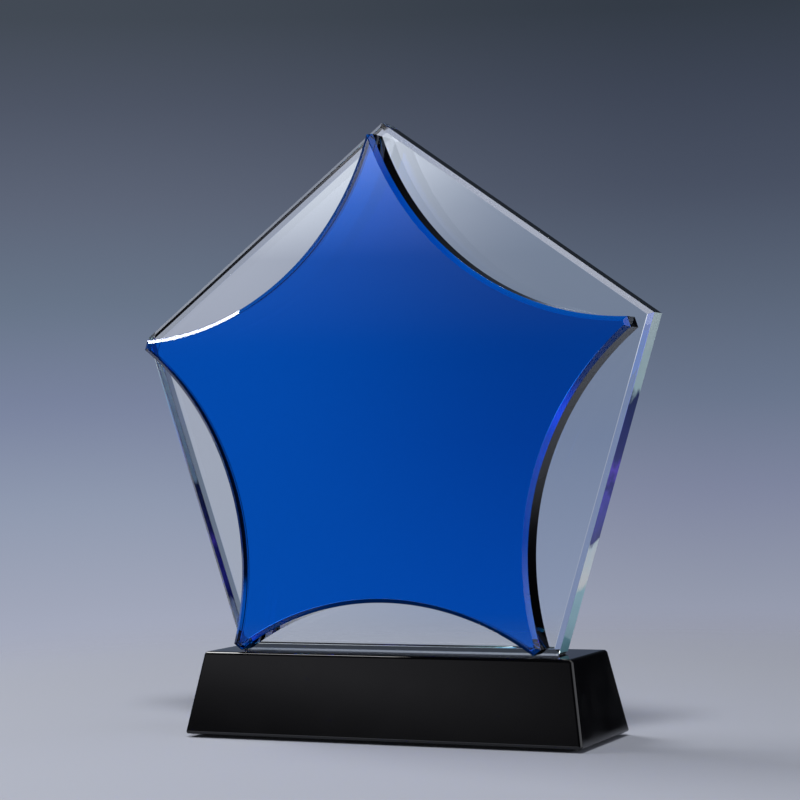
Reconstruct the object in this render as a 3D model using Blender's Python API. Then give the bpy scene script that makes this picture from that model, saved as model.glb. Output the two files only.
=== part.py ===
"""Crystal star award: a clear pentagon plate with a blue five-armed star bonded to its front face,
standing on a tapered black crystal block.

Metres, +Z up. The award faces -Y. The origin is on the table, under the middle of the block.
Every sub-part is one closed solid in its own object, and nothing moves: the pieces are glued.
"""

import math

import bmesh
import bpy
from mathutils import Matrix, Vector

# ---------------------------------------------------------------- driving dimensions
GAP = 0.0003                  # left between a piece and the one that it touches

FELT_LENGTH = 0.152
FELT_DEPTH = 0.043
FELT_THICKNESS = 0.0010
FELT_CORNER = 0.0030          # radius of the sheet's corners, seen from below

BASE_TOP_Z = 0.0320
BASE_BOTTOM_LENGTH = 0.161
BASE_BOTTOM_DEPTH = 0.050
BASE_TOP_LENGTH = 0.150
BASE_TOP_DEPTH = 0.0365
BASE_EDGE_RADIUS = 0.0012     # polished round on every edge of the block
BASE_EDGE_STEPS = 4

BOND_THICKNESS = 0.0002       # cured adhesive
BOND_SETBACK = 0.0005         # the adhesive stops this far inside the outline of the joint
BOND_TIP_SETBACK = 0.0028     # and this much further from the end of each arm

PLATE_RADIUS = 0.110          # centre of the pentagon to its corners
PLATE_CENTRE_Z = 0.1195
PLATE_FRONT_Y = -0.0075
PLATE_THICKNESS = 0.012
PLATE_BEVEL = 0.0016          # 45 degree chamfer along the front and back edges

STAR_CENTRE_Z = 0.1180        # a little lower than the plate's own centre
STAR_TOP_TIP = 0.1060         # centre of the star to the flat at the end of the top arm
STAR_TIP = 0.1040             # the same for the other four arms
STAR_WAIST = 0.0669           # centre of the star to the deepest point of a hollow side
STAR_SIDE_RADIUS = 0.1055     # radius of each hollow side
STAR_SIDE_STEPS = 40
STAR_THICKNESS = 0.010
STAR_BEVEL = 0.0016           # chamfer along the front edge

# ---------------------------------------------------------------- derived sizes
ARMS = 5
HALF_TURN = math.pi / ARMS                    # from the middle of a side to an arm or a corner
BASE_BOTTOM_Z = FELT_THICKNESS + GAP
JOINT = GAP + BOND_THICKNESS + GAP            # two glued faces stand this far apart
PLATE_FOOT_Z = BASE_TOP_Z + JOINT
STAR_BACK_Y = PLATE_FRONT_Y - JOINT
PLATE_APOTHEM = PLATE_RADIUS * math.cos(HALF_TURN)
SIDE_SLOPE = math.tan(math.pi / 2 - 2 * math.pi / ARMS)
FOOT_DROP = PLATE_CENTRE_Z - PLATE_FOOT_Z     # centre of the pentagon down to its ground foot


# ---------------------------------------------------------------- scene and materials
def clear_scene():
    for old in list(bpy.data.objects):
        bpy.data.objects.remove(old)


def crystal(name, colour, roughness, transmission):
    material = bpy.data.materials.new(name)
    material.use_nodes = True
    material.diffuse_color = colour
    shader = material.node_tree.nodes["Principled BSDF"]
    shader.inputs["Base Color"].default_value = colour
    shader.inputs["Roughness"].default_value = roughness
    shader.inputs["Metallic"].default_value = 0.0
    shader.inputs["Transmission Weight"].default_value = transmission
    shader.inputs["IOR"].default_value = 1.517
    return material


def add_part(name, shell, location, material, parent):
    """Turns a bmesh into a named object and shades its round stretches smooth."""
    bmesh.ops.recalc_face_normals(shell, faces=shell.faces)
    mesh = bpy.data.meshes.new(name)
    shell.to_mesh(mesh)
    shell.free()
    mesh.materials.append(material)
    mesh.shade_smooth()
    mesh.set_sharp_from_angle(angle=math.radians(20))
    part = bpy.data.objects.new(name, mesh)
    part.location = location
    part.parent = parent
    bpy.context.collection.objects.link(part)
    return part


# ---------------------------------------------------------------- outlines
def polar(radius, angle):
    return Vector((radius * math.cos(angle), radius * math.sin(angle)))


def star_outline(inset, shortening, steps):
    """The star seen from the front, centred on the origin, every edge moved in by inset.

    Each side is an arc about a point outside the star. It ends where it meets the short flats
    across the two arms beside it, which shortening draws in further.
    """
    centre_distance = STAR_WAIST + STAR_SIDE_RADIUS
    radius = STAR_SIDE_RADIUS + inset

    def sweep_to(arm):
        tip = STAR_TOP_TIP if arm == 0 else STAR_TIP
        reach = centre_distance * math.cos(HALF_TURN) - (tip - inset - shortening)
        return math.acos(reach / radius) - HALF_TURN

    points = []
    for side in range(ARMS):
        middle = math.pi / 2 + HALF_TURN + side * 2 * HALF_TURN
        centre = polar(centre_distance, middle)
        start = sweep_to(side)
        end = sweep_to((side + 1) % ARMS)
        for step in range(steps + 1):
            swing = (start + end) * step / steps - start
            points.append(centre + polar(radius, middle + math.pi - swing))
    return points


def pentagon_outline(inset):
    """The plate seen from the front, centred on the pentagon's own centre, with its foot cut flat."""
    apothem = PLATE_APOTHEM - inset
    corner = apothem / math.cos(HALF_TURN)
    foot = -FOOT_DROP + inset
    shoulder = polar(corner, math.pi / 2 - 2 * HALF_TURN)
    foot_x = shoulder.x - (shoulder.y - foot) * SIDE_SLOPE
    right = [shoulder, Vector((foot_x, foot))]
    left = [Vector((-foot_x, foot)), Vector((-shoulder.x, shoulder.y))]
    return [Vector((0.0, corner)), *right, *left]


def rounded_rectangle(length, depth, radius, steps):
    points = []
    for quarter in range(4):
        start = quarter * math.pi / 2
        sign_x = 1 if quarter in (0, 3) else -1
        sign_y = 1 if quarter in (0, 1) else -1
        centre = Vector((sign_x * (length / 2 - radius), sign_y * (depth / 2 - radius)))
        for step in range(steps + 1):
            points.append(centre + polar(radius, start + step / steps * math.pi / 2))
    return points


# ---------------------------------------------------------------- solids
def prism(outline, thickness):
    """Extrudes a flat outline along +Z by thickness."""
    shell = bmesh.new()
    face = shell.faces.new([shell.verts.new((p.x, p.y, 0.0)) for p in outline])
    raised = bmesh.ops.extrude_face_region(shell, geom=[face])
    top = [item for item in raised["geom"] if isinstance(item, bmesh.types.BMVert)]
    bmesh.ops.translate(shell, verts=top, vec=(0.0, 0.0, thickness))
    return shell


def stand_up(shell):
    """Turns a prism that lies flat so that it faces -Y, with its back on the plane y = 0."""
    bmesh.ops.rotate(shell, verts=shell.verts, matrix=Matrix.Rotation(math.pi / 2, 3, "X"))


def chamfer(shell, edges, width):
    bmesh.ops.bevel(shell, geom=edges, offset=width, offset_type="OFFSET", segments=1,
                    profile=0.5, affect="EDGES", clamp_overlap=False)


def rim_edges(shell, height):
    """The edges of a flat-lying prism whose two ends are both at one height."""
    def level(vert):
        return abs(vert.co.z - height) < 1e-6
    return [edge for edge in shell.edges if level(edge.verts[0]) and level(edge.verts[1])]


def make_felt():
    outline = rounded_rectangle(FELT_LENGTH, FELT_DEPTH, FELT_CORNER, 6)
    return prism(outline, FELT_THICKNESS)


def make_base():
    """A block whose four sides lean in, with every edge polished round."""
    height = BASE_TOP_Z - BASE_BOTTOM_Z
    shell = bmesh.new()
    bmesh.ops.create_cube(shell, size=1.0)
    for vert in shell.verts:
        top = vert.co.z > 0
        length = BASE_TOP_LENGTH if top else BASE_BOTTOM_LENGTH
        depth = BASE_TOP_DEPTH if top else BASE_BOTTOM_DEPTH
        vert.co = Vector((vert.co.x * length, vert.co.y * depth, height if top else 0.0))
    bmesh.ops.bevel(shell, geom=shell.edges[:], offset=BASE_EDGE_RADIUS, offset_type="OFFSET",
                    segments=BASE_EDGE_STEPS, profile=0.5, affect="EDGES", clamp_overlap=True)
    return shell


def make_foot_bond():
    foot_half = abs(pentagon_outline(0.0)[2].x) - BOND_SETBACK
    depth_half = PLATE_THICKNESS / 2 - PLATE_BEVEL - BOND_SETBACK
    outline = [Vector((-foot_half, -depth_half)), Vector((foot_half, -depth_half)),
               Vector((foot_half, depth_half)), Vector((-foot_half, depth_half))]
    return prism(outline, BOND_THICKNESS)


def make_plate():
    shell = prism(pentagon_outline(0.0), PLATE_THICKNESS)
    chamfer(shell, rim_edges(shell, 0.0) + rim_edges(shell, PLATE_THICKNESS), PLATE_BEVEL)
    stand_up(shell)
    return shell


def make_star_bond():
    shell = prism(star_outline(BOND_SETBACK, BOND_TIP_SETBACK, STAR_SIDE_STEPS), BOND_THICKNESS)
    stand_up(shell)
    return shell


def make_star():
    shell = prism(star_outline(0.0, 0.0, STAR_SIDE_STEPS), STAR_THICKNESS)
    chamfer(shell, rim_edges(shell, STAR_THICKNESS), STAR_BEVEL)
    stand_up(shell)
    return shell


# ---------------------------------------------------------------- assembly, from the table up
clear_scene()
award = bpy.data.objects.new("award", None)
bpy.context.collection.objects.link(award)

felt_cloth = crystal("felt", (0.012, 0.012, 0.013, 1.0), 0.95, 0.0)
black_crystal = crystal("black_crystal", (0.008, 0.008, 0.010, 1.0), 0.03, 0.0)
clear_crystal = crystal("clear_crystal", (0.95, 0.97, 0.98, 1.0), 0.0, 1.0)
blue_crystal = crystal("blue_crystal", (0.005, 0.070, 0.420, 1.0), 0.02, 0.6)
adhesive = crystal("adhesive", (0.90, 0.92, 0.93, 1.0), 0.10, 0.9)

plate_middle_y = PLATE_FRONT_Y + PLATE_THICKNESS / 2
plate_back_y = PLATE_FRONT_Y + PLATE_THICKNESS
star_bond_back_y = PLATE_FRONT_Y - GAP
foot_bond_z = BASE_TOP_Z + GAP

add_part("base_felt", make_felt(), (0.0, 0.0, 0.0), felt_cloth, award)
add_part("base_block", make_base(), (0.0, 0.0, BASE_BOTTOM_Z), black_crystal, award)
add_part("foot_bond", make_foot_bond(), (0.0, plate_middle_y, foot_bond_z), adhesive, award)
add_part("pentagon_plate", make_plate(), (0.0, plate_back_y, PLATE_CENTRE_Z), clear_crystal, award)
add_part("star_bond", make_star_bond(), (0.0, star_bond_back_y, STAR_CENTRE_Z), adhesive, award)
add_part("star", make_star(), (0.0, STAR_BACK_Y, STAR_CENTRE_Z), blue_crystal, award)
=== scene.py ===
import math

import bmesh
import bpy
from mathutils import Matrix, Vector


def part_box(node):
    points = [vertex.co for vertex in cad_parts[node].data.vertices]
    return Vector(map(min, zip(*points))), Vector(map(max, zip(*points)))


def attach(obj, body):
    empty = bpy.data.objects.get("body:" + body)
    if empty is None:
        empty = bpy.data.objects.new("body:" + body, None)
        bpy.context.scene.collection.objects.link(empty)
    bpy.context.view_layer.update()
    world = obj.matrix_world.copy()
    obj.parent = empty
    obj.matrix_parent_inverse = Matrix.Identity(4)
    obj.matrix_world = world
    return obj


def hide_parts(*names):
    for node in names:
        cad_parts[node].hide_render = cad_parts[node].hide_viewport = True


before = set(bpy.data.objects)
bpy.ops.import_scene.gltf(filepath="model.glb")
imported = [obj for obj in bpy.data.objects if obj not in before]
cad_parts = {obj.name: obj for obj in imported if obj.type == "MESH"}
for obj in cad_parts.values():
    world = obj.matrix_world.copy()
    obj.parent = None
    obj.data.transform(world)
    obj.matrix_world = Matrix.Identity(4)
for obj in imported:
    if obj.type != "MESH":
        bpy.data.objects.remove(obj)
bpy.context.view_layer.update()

# ---------------------------------------------------------------- base felt
# A sheet of pressed black felt glued under the block, so that the award doesn't scratch the table.
# It is die-cut a few millimetres smaller than the block, with rounded corners.
FELT_CORNER = 0.003
FELT_CORNER_STEPS = 12
FELT_NAP = 0.00018
FELT_SHADES = ((0.0, (0.006, 0.006, 0.007)), (1.0, (0.034, 0.034, 0.037)))


def polar(radius, angle):
    return Vector((radius * math.cos(angle), radius * math.sin(angle)))


def rounded_rectangle(length, depth, radius, inset, steps):
    points = []
    for quarter in range(4):
        start = quarter * math.pi / 2
        centre = Vector((length / 2 - radius, depth / 2 - radius))
        if quarter in (1, 2):
            centre.x = -centre.x
        if quarter in (2, 3):
            centre.y = -centre.y
        for step in range(steps + 1):
            points.append(centre + polar(radius - inset, start + step / steps * math.pi / 2))
    return points


def add_ring(shell, outline, level):
    """A closed loop of points at one level: x and y from the outline, z from the level."""
    return [shell.verts.new((p.x, p.y, level)) for p in outline]


def join_rings(shell, lower, upper):
    count = len(lower)
    return [shell.faces.new((lower[i], lower[(i + 1) % count], upper[(i + 1) % count], upper[i]))
            for i in range(count)]


def piece_from(shell, name, placing, material, sharp_degrees):
    """Makes the visible piece from a mesh drawn lying flat, then moved by placing."""
    bmesh.ops.recalc_face_normals(shell, faces=shell.faces)
    shell.transform(placing)
    mesh = bpy.data.meshes.new(name)
    shell.to_mesh(mesh)
    shell.free()
    mesh.materials.append(material)
    mesh.shade_smooth()
    mesh.set_sharp_from_angle(angle=math.radians(sharp_degrees))
    piece = bpy.data.objects.new(name, mesh)
    bpy.context.scene.collection.objects.link(piece)
    return piece


def new_material(name):
    material = bpy.data.materials.new(name)
    material.use_nodes = True
    return material, material.node_tree.nodes, material.node_tree.links


def grain(nodes, links, scale, detail=2.0):
    """Irregular patches laid out in the piece's own space, the finer the larger the scale."""
    place = nodes.new("ShaderNodeTexCoord")
    patches = nodes.new("ShaderNodeTexNoise")
    patches.inputs["Scale"].default_value = scale
    patches.inputs["Detail"].default_value = detail
    links.new(place.outputs["Object"], patches.inputs["Vector"])
    return patches


def colours_of(nodes, links, share, stops):
    """Turns a share from 0 to 1 into a colour: each stop is a place on it and a linear colour."""
    ramp = nodes.new("ShaderNodeValToRGB")
    elements = ramp.color_ramp.elements
    while len(elements) < len(stops):
        elements.new(0.5)
    for element, (position, colour) in zip(elements, stops):
        element.position = position
        element.color = (*colour, 1.0)
    links.new(share, ramp.inputs["Fac"])
    return ramp.outputs["Color"]


def felt_material():
    material, nodes, links = new_material("pressed felt")
    shader = nodes["Principled BSDF"]
    fibres = grain(nodes, links, 1400.0, 6.0)
    fibres.inputs["Distortion"].default_value = 1.2
    shade = colours_of(nodes, links, fibres.outputs["Fac"], FELT_SHADES)
    links.new(shade, shader.inputs["Base Color"])
    nap = nodes.new("ShaderNodeBump")
    nap.inputs["Strength"].default_value = 0.8
    nap.inputs["Distance"].default_value = 0.0002
    links.new(fibres.outputs["Fac"], nap.inputs["Height"])
    links.new(nap.outputs["Normal"], shader.inputs["Normal"])
    shader.inputs["Roughness"].default_value = 0.95
    shader.inputs["Sheen Weight"].default_value = 0.3
    shader.inputs["Sheen Roughness"].default_value = 0.5
    return material


felt_low, felt_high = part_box("base_felt")
felt_size = felt_high - felt_low
felt_shell = bmesh.new()
felt_rings = []
for level, inset in ((0.0, FELT_NAP), (FELT_NAP, 0.0), (felt_size.z - FELT_NAP, 0.0),
                     (felt_size.z, FELT_NAP)):
    outline = rounded_rectangle(felt_size.x, felt_size.y, FELT_CORNER, inset, FELT_CORNER_STEPS)
    felt_rings.append(add_ring(felt_shell, outline, level))
for lower, upper in zip(felt_rings, felt_rings[1:]):
    join_rings(felt_shell, lower, upper)
felt_shell.faces.new(felt_rings[0])
felt_shell.faces.new(felt_rings[-1])
felt_place = Matrix.Translation((0.0, 0.0, felt_low.z))
felt = piece_from(felt_shell, "felt_sheet", felt_place, felt_material(), 60)
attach(felt, "root")
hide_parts("base_felt")

# ---------------------------------------------------------------- base block
# A block of black optical glass, sawn with four leaning sides, then ground and polished all over.
# Its edges are rounded by the polishing lap.
BLOCK_BOTTOM = (0.161, 0.050)
BLOCK_TOP = (0.150, 0.0365)
BLOCK_EDGE_RADIUS = 0.0012
BLOCK_EDGE_STEPS = 10


def map_range(nodes, links, value, low, high, least=0.0, most=1.0, course="LINEAR"):
    """Maps a value between low and high onto least to most."""
    span = nodes.new("ShaderNodeMapRange")
    span.interpolation_type = course
    span.inputs["From Min"].default_value = low
    span.inputs["From Max"].default_value = high
    span.inputs["To Min"].default_value = least
    span.inputs["To Max"].default_value = most
    links.new(value, span.inputs["Value"])
    return span.outputs["Result"]


def black_crystal_material():
    material, nodes, links = new_material("polished black crystal")
    shader = nodes["Principled BSDF"]
    shader.inputs["Base Color"].default_value = (0.001, 0.001, 0.0012, 1.0)
    shader.inputs["IOR"].default_value = 1.52
    haze = grain(nodes, links, 38.0, 5.0)
    polish = map_range(nodes, links, haze.outputs["Fac"], 0.35, 0.75, 0.02, 0.09)
    links.new(polish, shader.inputs["Roughness"])
    return material


block_low, block_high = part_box("base_block")
block_height = block_high.z - block_low.z
block_shell = bmesh.new()
bmesh.ops.create_cube(block_shell, size=1.0)
for vert in block_shell.verts:
    length, depth = BLOCK_TOP if vert.co.z > 0 else BLOCK_BOTTOM
    level = block_height if vert.co.z > 0 else 0.0
    vert.co = Vector((vert.co.x * length, vert.co.y * depth, level))
bmesh.ops.bevel(block_shell, geom=block_shell.edges[:], offset=BLOCK_EDGE_RADIUS,
                offset_type="OFFSET", segments=BLOCK_EDGE_STEPS, profile=0.5, affect="EDGES")
block = piece_from(block_shell, "black_block", Matrix.Translation((0.0, 0.0, block_low.z)),
                   black_crystal_material(), 12)
true_faces = block.modifiers.new("true flat faces", "WEIGHTED_NORMAL")
true_faces.weight = 100
true_faces.keep_sharp = True
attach(block, "root")
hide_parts("base_block")

# ---------------------------------------------------------------- pentagon plate
# A regular pentagon sawn from thick clear optical glass, its foot ground flat to stand on the
# block. Both rims are chamfered, satin at the upper right and polished elsewhere. Its two lower
# edges are opaque and carry painted light, the colours of light that has run along inside it.
PENTAGON_RADIUS = 0.110
RIM_CHAMFER = 0.0016
ARRIS = 0.00012
HALF_TURN = math.pi / 5            # from the middle of a side to a corner or an arm
UPPER_RIGHT, LOWER_RIGHT, LOWER_LEFT = 0, 1, 3   # sides, counted clockwise from the top corner
STAR_TOP_TIP = 0.1060
STAR_TIP = 0.1040
STAR_WAIST = 0.0669
STAR_SIDE_RADIUS = 0.1055
STAR_STEPS = 96
GLUE_SETBACK = 0.0004
GLUE_TIP_SETBACK = 0.0027
GLUE_CLEARANCE = 0.00001           # keeps the film's faces from coinciding with the glass
GLASS_INDEX = 1.517
WETTED = "wetted"
GROUND = "ground"
EDGE_SLANT = (-1.3, 0.0, 8.285)    # the painted light bands on the edge run up the plate, higher at its right
EDGE_RUN = (0.252, 1.502)
EDGE_WANDER = 0.16
# painted light on the plate's lower edges: sea green, painted white highlight bands and the star's
# blue
PAINTED_EDGE_LIGHT_COLOURS = (
    (0.0, (0.20, 0.44, 0.52)), (0.145, (0.36, 0.66, 0.72)), (0.165, (0.95, 0.97, 0.92)),
    (0.245, (0.80, 0.95, 0.98)), (0.262, (0.02, 0.03, 0.24)), (0.31, (0.05, 0.06, 0.44)),
    (0.36, (0.09, 0.08, 0.62)), (0.385, (0.03, 0.04, 0.30)), (0.42, (0.16, 0.10, 0.78)),
    (0.45, (0.05, 0.06, 0.30)), (0.58, (0.03, 0.05, 0.18)), (0.605, (0.60, 0.84, 0.86)),
    (0.80, (0.80, 0.95, 0.94)), (1.0, (0.50, 0.72, 0.76)))


def pentagon_outline(inset, foot_drop):
    apothem = PENTAGON_RADIUS * math.cos(HALF_TURN) - inset
    corner = apothem / math.cos(HALF_TURN)
    foot = -foot_drop + inset
    shoulder = polar(corner, math.pi / 2 - 2 * HALF_TURN)
    foot_x = shoulder.x - (shoulder.y - foot) * math.tan(math.pi / 2 - 2 * HALF_TURN)
    right = [shoulder, Vector((foot_x, foot))]
    left = [Vector((-foot_x, foot)), Vector((-shoulder.x, shoulder.y))]
    return [Vector((0.0, corner)), *right, *left]


def star_outline(inset, shortening=0.0):
    """The star from the front: five hollow arcs, joined by the short flats that end its arms."""
    distance = STAR_WAIST + STAR_SIDE_RADIUS
    radius = STAR_SIDE_RADIUS + inset
    sweeps = []
    for tip in (STAR_TOP_TIP, STAR_TIP, STAR_TIP, STAR_TIP, STAR_TIP, STAR_TOP_TIP):
        reach = distance * math.cos(HALF_TURN) - (tip - inset - shortening)
        sweeps.append(math.acos(reach / radius) - HALF_TURN)
    points = []
    for side, (start, end) in enumerate(zip(sweeps, sweeps[1:])):
        middle = math.pi / 2 + HALF_TURN + side * 2 * HALF_TURN
        centre = polar(distance, middle)
        for step in range(STAR_STEPS + 1):
            swing = (start + end) * step / STAR_STEPS - start
            points.append(centre + polar(radius, middle + math.pi - swing))
    return points


def chamfer_profile(width):
    """Levels and insets down a 45 degree chamfer whose two arrises are broken."""
    near = ARRIS * 0.7
    far = width - ARRIS * 0.4
    return [(0.0, width + ARRIS), (near, far), (far, near), (width + ARRIS, 0.0)]


def from_other_face(profile, thickness):
    return [(thickness - level, inset) for level, inset in reversed(profile)]


def fill_between(shell, outer, inner):
    """Fills the flat ring between two loops of points, whatever their counts."""
    edges = []
    for loop in (outer, inner):
        for i, vert in enumerate(loop):
            other = loop[(i + 1) % len(loop)]
            edges.append(shell.edges.get((vert, other)) or shell.edges.new((vert, other)))
    bmesh.ops.triangle_fill(shell, use_beauty=False, use_dissolve=False, edges=edges)


def glass_shell():
    """An empty shell whose faces can each be marked as wetted by adhesive or as finely ground."""
    shell = bmesh.new()
    for finish in (WETTED, GROUND):
        shell.faces.layers.float.new(finish)
    return shell


def mark(shell, finish, faces):
    for face in faces:
        face[shell.faces.layers.float[finish]] = 1.0


def wet(shell, verts):
    """Closes a loop with a face that adhesive wets."""
    mark(shell, WETTED, [shell.faces.new(verts)])


def share_marked(nodes, finish):
    share = nodes.new("ShaderNodeAttribute")
    share.attribute_name = finish
    return share.outputs["Fac"]


def glass_surface(nodes, links, haze_scale):
    """Polished glass with a faint haze, and satin where it is ground. Where adhesive of its own
    index wets it, light crosses without bending."""
    shader = nodes["Principled BSDF"]
    shader.inputs["Transmission Weight"].default_value = 1.0
    index = map_range(nodes, links, share_marked(nodes, WETTED), 0.0, 1.0, GLASS_INDEX, 1.0)
    links.new(index, shader.inputs["IOR"])
    haze = grain(nodes, links, haze_scale, 4.0)
    polish = map_range(nodes, links, haze.outputs["Fac"], 0.5, 0.8, 0.0, 0.03)
    grit = grain(nodes, links, 2600.0)
    satin = map_range(nodes, links, grit.outputs["Fac"], 0.3, 0.7, 0.18, 0.34)
    finish = nodes.new("ShaderNodeMix")
    links.new(share_marked(nodes, GROUND), finish.inputs["Factor"])
    links.new(polish, finish.inputs["A"])
    links.new(satin, finish.inputs["B"])
    links.new(finish.outputs["Result"], shader.inputs["Roughness"])
    return shader


def absorb(nodes, links, colour, density):
    depth = nodes.new("ShaderNodeVolumeAbsorption")
    depth.inputs["Color"].default_value = colour
    depth.inputs["Density"].default_value = density
    links.new(depth.outputs["Volume"], nodes["Material Output"].inputs["Volume"])


def clear_crystal_material():
    material, nodes, links = new_material("clear crystal")
    shader = glass_surface(nodes, links, 30.0)
    shader.inputs["Base Color"].default_value = (0.985, 0.995, 0.995, 1.0)
    absorb(nodes, links, (0.70, 0.95, 0.92, 1.0), 4.0)
    return material


def painted_piped_light_material():
    """The edge of a thick plate, opaque and painted with light: its colour stands in for light
    that has run along inside it, sea green with white bands, or the blue of the star where it ran
    through it."""
    material, nodes, links = new_material("painted light piped along the plate")
    shader = nodes["Principled BSDF"]
    shader.inputs["IOR"].default_value = GLASS_INDEX
    shader.inputs["Roughness"].default_value = 0.06
    place = nodes.new("ShaderNodeTexCoord")
    slant = nodes.new("ShaderNodeVectorMath")
    slant.operation = "DOT_PRODUCT"
    slant.inputs[1].default_value = EDGE_SLANT
    links.new(place.outputs["Object"], slant.inputs[0])
    patches = grain(nodes, links, 120.0, 3.0)
    wander = nodes.new("ShaderNodeMath")
    wander.operation = "MULTIPLY_ADD"
    wander.inputs[1].default_value = EDGE_WANDER
    links.new(patches.outputs["Fac"], wander.inputs[0])
    links.new(slant.outputs["Value"], wander.inputs[2])
    run = map_range(nodes, links, wander.outputs["Value"], *EDGE_RUN)
    links.new(colours_of(nodes, links, run, PAINTED_EDGE_LIGHT_COLOURS), shader.inputs["Base Color"])
    return material


plate_low, plate_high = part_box("pentagon_plate")
plate_centre_z = plate_high.z - PENTAGON_RADIUS
foot_drop = plate_centre_z - plate_low.z
plate_depth = plate_high.y - plate_low.y
clear_crystal = clear_crystal_material()
star_low, star_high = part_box("star")
star_centre_z = star_high.z - STAR_TOP_TIP
star_drop = Vector((0.0, star_centre_z - plate_centre_z))

plate_shell = glass_shell()
back_rim = chamfer_profile(RIM_CHAMFER)
plate_rings = [add_ring(plate_shell, pentagon_outline(inset, foot_drop), level)
               for level, inset in back_rim + from_other_face(back_rim, plate_depth)]
bands = [join_rings(plate_shell, lower, upper)
         for lower, upper in zip(plate_rings, plate_rings[1:])]
back_chamfers, side_walls, front_chamfers = bands[1], bands[3], bands[5]
mark(plate_shell, GROUND, (back_chamfers[UPPER_RIGHT], front_chamfers[UPPER_RIGHT]))
# the two lower walls take the second material, the painted piped light
for side in (LOWER_RIGHT, LOWER_LEFT):
    side_walls[side].material_index = 1
plate_shell.faces.new(plate_rings[0])
contact_outline = [point + star_drop for point in star_outline(GLUE_SETBACK, GLUE_TIP_SETBACK)]
contact = add_ring(plate_shell, contact_outline, plate_depth)
fill_between(plate_shell, plate_rings[-1], contact)
wet(plate_shell, contact)
stand = Matrix.Rotation(math.pi / 2, 4, "X")
plate_place = Matrix.Translation((0.0, plate_high.y, plate_centre_z)) @ stand
plate = piece_from(plate_shell, "clear_pentagon", plate_place, clear_crystal, 10)
plate.data.materials.append(painted_piped_light_material())
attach(plate, "root")
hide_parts("pentagon_plate")

# ---------------------------------------------------------------- foot bond
# A film of clear light-cured adhesive between the plate's ground foot and the block's top. It wets
# both, and stops just inside the plate's chamfers.
FOOT_FILM_CORNER = 0.0008
FOOT_FILM_STEPS = 6

foot_low, foot_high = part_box("foot_bond")
foot_shell = glass_shell()
foot_outline = rounded_rectangle(foot_high.x - foot_low.x, foot_high.y - foot_low.y,
                                 FOOT_FILM_CORNER, 0.0, FOOT_FILM_STEPS)
film_bottom = block_high.z + GLUE_CLEARANCE
film_top = plate_low.z - GLUE_CLEARANCE
foot_rings = [add_ring(foot_shell, foot_outline, level) for level in (0.0, film_top - film_bottom)]
join_rings(foot_shell, *foot_rings)
wet(foot_shell, foot_rings[0])
wet(foot_shell, foot_rings[1])
foot_place = Matrix.Translation((0.0, (foot_low.y + foot_high.y) / 2, film_bottom))
foot_film = piece_from(foot_shell, "foot_glue_line", foot_place, clear_crystal, 30)
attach(foot_film, "root")
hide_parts("foot_bond")

# ---------------------------------------------------------------- star bond
# The same adhesive between the star's back and the plate: it wets both faces, so no air is left.
# It stops just inside the star's outline.
film_depth = plate_low.y - star_high.y - 2 * GLUE_CLEARANCE
bond_shell = glass_shell()
bond_rings = [add_ring(bond_shell, star_outline(GLUE_SETBACK, GLUE_TIP_SETBACK), level)
              for level in (0.0, film_depth)]
join_rings(bond_shell, *bond_rings)
wet(bond_shell, bond_rings[0])
wet(bond_shell, bond_rings[1])
bond_place = Matrix.Translation((0.0, plate_low.y - GLUE_CLEARANCE, star_centre_z)) @ stand
bond = piece_from(bond_shell, "star_glue_line", bond_place, clear_crystal, 10)
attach(bond, "root")
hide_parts("star_bond")

# ---------------------------------------------------------------- star
# A star of cobalt blue optical glass. Its hollow sides are ground on a round lap and polished, its
# front edge is chamfered, and its back is glued to the plate.
STAR_CHAMFER = 0.0016


def blue_crystal_material():
    material, nodes, links = new_material("blue crystal")
    shader = glass_surface(nodes, links, 24.0)
    shader.inputs["Base Color"].default_value = (0.96, 0.98, 1.0, 1.0)
    absorb(nodes, links, (0.0, 0.73, 0.976, 1.0), 600.0)
    return material


star_depth = star_high.y - star_low.y
star_shell = glass_shell()
back_edge = [(0.0, ARRIS), (ARRIS, 0.0)]
front_edge = from_other_face(chamfer_profile(STAR_CHAMFER), star_depth)
star_rings = [add_ring(star_shell, star_outline(inset), level)
              for level, inset in back_edge + front_edge]
for lower, upper in zip(star_rings, star_rings[1:]):
    join_rings(star_shell, lower, upper)
glued = add_ring(star_shell, star_outline(GLUE_SETBACK, GLUE_TIP_SETBACK), 0.0)
join_rings(star_shell, star_rings[0], glued)
wet(star_shell, glued)
star_shell.faces.new(star_rings[-1])
star_place = Matrix.Translation((0.0, star_high.y, star_centre_z)) @ stand
star = piece_from(star_shell, "blue_star", star_place, blue_crystal_material(), 10)
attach(star, "root")
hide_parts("star")

# ---------------------------------------------------------------- floor
# A pale matt table that the award stands on. Away from the award it fades out, so that its far
# edge doesn't show against the backdrop.
FLOOR_RADIUS = 3.0
FLOOR_FADE = (0.22, 0.62)

floor_shell = bmesh.new()
bmesh.ops.create_circle(floor_shell, cap_ends=True, radius=FLOOR_RADIUS, segments=96)
floor_mesh = bpy.data.meshes.new("floor")
floor_shell.to_mesh(floor_mesh)
floor_shell.free()
floor = bpy.data.objects.new("floor", floor_mesh)
bpy.context.scene.collection.objects.link(floor)
floor_material, floor_nodes, floor_links = new_material("pale floor")
floor_shader = floor_nodes["Principled BSDF"]
floor_shader.inputs["Base Color"].default_value = (0.315, 0.332, 0.388, 1.0)
floor_shader.inputs["Roughness"].default_value = 0.7
floor_place = floor_nodes.new("ShaderNodeTexCoord")
floor_distance = floor_nodes.new("ShaderNodeVectorMath")
floor_distance.operation = "LENGTH"
floor_links.new(floor_place.outputs["Object"], floor_distance.inputs[0])
floor_fade = map_range(floor_nodes, floor_links, floor_distance.outputs["Value"], *FLOOR_FADE,
                       course="SMOOTHSTEP")
floor_clear = floor_nodes.new("ShaderNodeBsdfTransparent")
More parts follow.
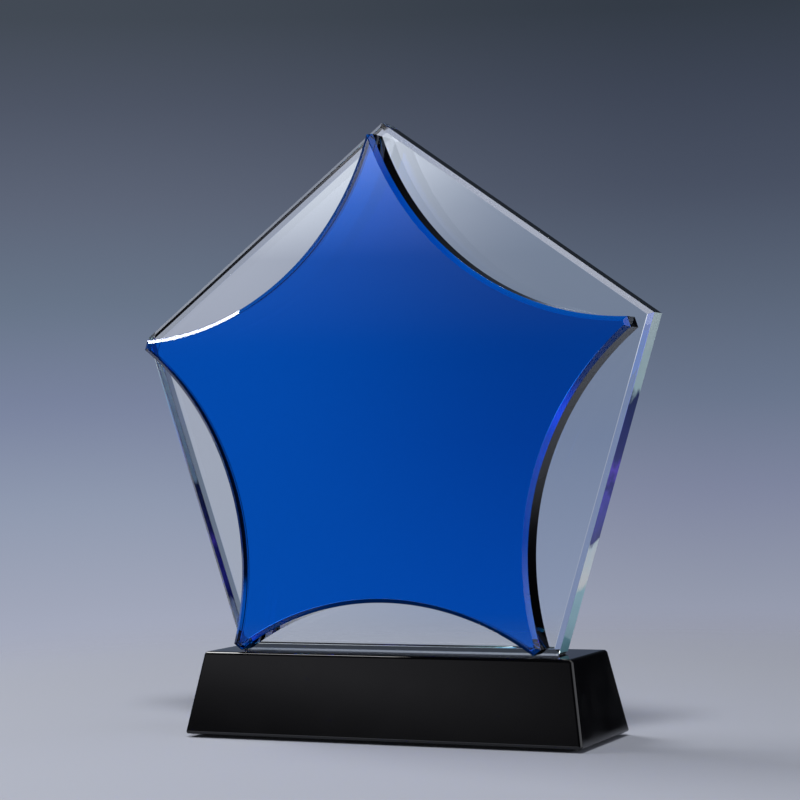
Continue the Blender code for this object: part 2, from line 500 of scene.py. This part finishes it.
floor_mix = floor_nodes.new("ShaderNodeMixShader")
floor_links.new(floor_fade, floor_mix.inputs["Fac"])
floor_links.new(floor_shader.outputs["BSDF"], floor_mix.inputs[1])
floor_links.new(floor_clear.outputs["BSDF"], floor_mix.inputs[2])
floor_links.new(floor_mix.outputs["Shader"], floor_nodes["Material Output"].inputs["Surface"])
floor_mesh.materials.append(floor_material)

# ---------------------------------------------------------------- studio
# A backdrop that darkens upwards, pale cards that the crystal shows by bending light, strips and
# boxes that it mirrors, and two soft lamps. Directions are degrees clockwise from straight behind
# the award, seen from above.
GROUND_GLOW = (-90, (0.30, 0.31, 0.34))
LOW_GLOW = (-20, (0.10, 0.105, 0.12))
HORIZON_DARK = (-5, (0.012, 0.013, 0.017))
OVERHEAD = (90, (0.015, 0.015, 0.02))
CARD_OVERHEAD = (90, (0.02, 0.02, 0.025))
BACKDROP_OVERHEAD = (90, (0.02, 0.02, 0.02))
AWARD_MIDDLE = Vector((0.0, 0.0, 0.11))

world = bpy.data.worlds.new("studio")
bpy.context.scene.world = world
world.use_nodes = True
sky_nodes, sky_links = world.node_tree.nodes, world.node_tree.links
sky_place = sky_nodes.new("ShaderNodeTexCoord")
sky_split = sky_nodes.new("ShaderNodeSeparateXYZ")
sky_links.new(sky_place.outputs["Generated"], sky_split.inputs["Vector"])
sky_height = map_range(sky_nodes, sky_links, sky_split.outputs["Z"], -1.0, 1.0)


def by_height(*stops):
    """Colours by height: each stop is degrees above the horizon and a linear colour."""
    places = [((math.sin(math.radians(degrees)) + 1) / 2, colour) for degrees, colour in stops]
    return colours_of(sky_nodes, sky_links, sky_height, places)


def towards(degrees, edge, full):
    """How far a direction lies round towards one side: 0 at edge degrees off it, 1 at full."""
    turned = sky_nodes.new("ShaderNodeVectorMath")
    turned.operation = "DOT_PRODUCT"
    turned.inputs[1].default_value = (math.sin(math.radians(degrees)),
                                      math.cos(math.radians(degrees)), 0.0)
    sky_links.new(sky_place.outputs["Generated"], turned.inputs[0])
    return map_range(sky_nodes, sky_links, turned.outputs["Value"], math.cos(math.radians(edge)),
                     math.cos(math.radians(full)), course="SMOOTHSTEP")


def blend(share, below, above):
    mix = sky_nodes.new("ShaderNodeMix")
    mix.data_type = "RGBA"
    sky_links.new(share, mix.inputs["Factor"])
    sky_links.new(below, mix.inputs["A"])
    sky_links.new(above, mix.inputs["B"])
    return mix.outputs["Result"]


backdrop_left = by_height(
    (-90, (0.42, 0.45, 0.55)), (-5.8, (0.407, 0.434, 0.546)), (-4.2, (0.356, 0.386, 0.491)),
    (-1.5, (0.279, 0.323, 0.434)), (1.1, (0.195, 0.231, 0.347)), (3.8, (0.138, 0.178, 0.25)),
    (6.5, (0.109, 0.13, 0.185)), (9.1, (0.076, 0.091, 0.13)), (11.3, (0.056, 0.069, 0.091)),
    BACKDROP_OVERHEAD)
backdrop_right = by_height(
    (-90, (0.38, 0.40, 0.50)), (-5.8, (0.342, 0.361, 0.462)), (-4.2, (0.292, 0.319, 0.413)),
    (-1.5, (0.212, 0.238, 0.347)), (1.1, (0.141, 0.178, 0.262)), (3.8, (0.102, 0.13, 0.188)),
    (6.5, (0.067, 0.083, 0.125)), (9.1, (0.048, 0.06, 0.091)), (11.3, (0.034, 0.044, 0.061)),
    BACKDROP_OVERHEAD)
backdrop = blend(towards(-60, 43.5, 25.5), backdrop_right, backdrop_left)

card_left = by_height(
    GROUND_GLOW, (-8, (0.41, 0.44, 0.55)), (-2, (0.385, 0.42, 0.52)), (3, (0.385, 0.415, 0.52)),
    (5, (0.43, 0.46, 0.56)), (7, (0.9, 0.95, 1.05)), (9, (1.2, 1.25, 1.35)),
    (13, (0.08, 0.09, 0.12)), CARD_OVERHEAD)
card_right = by_height(
    GROUND_GLOW, (-8, (0.36, 0.40, 0.52)), (-4, (0.27, 0.32, 0.46)), (0, (0.19, 0.24, 0.37)),
    (4, (0.18, 0.222, 0.31)), (9, (0.16, 0.2, 0.28)), (14, (0.05, 0.06, 0.08)), CARD_OVERHEAD)
card_end = by_height(
    GROUND_GLOW, (-8, (0.30, 0.35, 0.50)), (0, (0.21, 0.26, 0.42)), (9.5, (0.17, 0.23, 0.40)),
    (12, (0.25, 0.30, 0.95)), (16, (0.25, 0.30, 0.95)), (19, (0.05, 0.06, 0.12)), CARD_OVERHEAD)
card = blend(towards(-60, 39, 28.5), card_right, card_left)
card = blend(towards(-64, 26, 21), card, card_end)

dark_side = by_height(GROUND_GLOW, LOW_GLOW, HORIZON_DARK, (0, (0.006, 0.0065, 0.009)), OVERHEAD)
strip_box = by_height(
    GROUND_GLOW, LOW_GLOW, HORIZON_DARK, (2.5, (0.012, 0.013, 0.018)), (4.9, (0.25, 0.26, 0.32)),
    (6.5, (1.0, 1.05, 1.3)), (8.0, (3.0, 3.1, 3.5)), (12.5, (0.05, 0.05, 0.06)),
    (14.0, (0.08, 0.08, 0.09)), (14.9, (0.19, 0.19, 0.21)), (15.8, (0.42, 0.42, 0.46)),
    (19, (0.5, 0.5, 0.55)), (90, (0.1, 0.1, 0.1)))
side_box = by_height(
    GROUND_GLOW, (-10, (0.10, 0.105, 0.12)), (3, (1.2, 1.23, 1.33)), (50, (1.2, 1.23, 1.33)),
    (75, (0.05, 0.05, 0.06)), OVERHEAD)
far_strip = by_height(
    GROUND_GLOW, (-1.0, (0.012, 0.013, 0.017)), (0.4, (1.1, 1.15, 1.25)), (5.5, (1.1, 1.15, 1.25)),
    (6.5, (0.006, 0.0065, 0.009)), OVERHEAD)

seen = sky_nodes.new("ShaderNodeLightPath")
through = blend(seen.outputs["Is Transmission Ray"], backdrop, card)
around = blend(towards(-45, 62, 30), dark_side, through)
around = blend(towards(-141.5, 26.5, 15.2), around, strip_box)
around = blend(towards(95, 50, 36), around, side_box)
around = blend(towards(16.9, 3.2, 2.6), around, far_strip)
sky = blend(seen.outputs["Is Camera Ray"], around, backdrop)
sky_links.new(sky, sky_nodes["Background"].inputs["Color"])
sky_nodes["Background"].inputs["Strength"].default_value = 1.0


def soft_box(name, place, side, watts):
    """A square lamp that faces the middle of the award."""
    lamp = bpy.data.lights.new(name, "AREA")
    lamp.shape = "RECTANGLE"
    lamp.size = side
    lamp.size_y = side
    lamp.energy = watts
    holder = bpy.data.objects.new(name, lamp)
    holder.location = place
    facing = AWARD_MIDDLE - Vector(place)
    holder.rotation_euler = facing.to_track_quat("-Z", "Y").to_euler()
    bpy.context.scene.collection.objects.link(holder)


soft_box("top_box", (0.26, -0.61, 1.23), 0.25, 13.0)
soft_box("left_box", (-0.75, 0.10, 1.05), 0.55, 12.0)

# ---------------------------------------------------------------- camera
# It stands to the right of the award, level with the star and looking a touch upwards at it.
CAMERA_AZIMUTH = math.radians(25.52)
CAMERA_RISE = math.radians(-1.13)
CAMERA_ROLL = math.radians(-1.45)
CAMERA_DISTANCE = 0.8043
CAMERA_LENS = 96.5

camera_aim = Vector((0.0018, 0.0, 0.1258))
away = Vector((math.sin(CAMERA_AZIMUTH) * math.cos(CAMERA_RISE),
               -math.cos(CAMERA_AZIMUTH) * math.cos(CAMERA_RISE), math.sin(CAMERA_RISE)))
camera_data = bpy.data.cameras.new("camera")
camera_data.lens = CAMERA_LENS
camera = bpy.data.objects.new("camera", camera_data)
upright = away.to_track_quat("Z", "Y").to_matrix().to_4x4()
camera.rotation_euler = (upright @ Matrix.Rotation(CAMERA_ROLL, 4, "Z")).to_euler()
camera.location = camera_aim + away * CAMERA_DISTANCE
bpy.context.scene.collection.objects.link(camera)
bpy.context.scene.camera = camera
bpy.context.scene.view_settings.view_transform = "Standard"
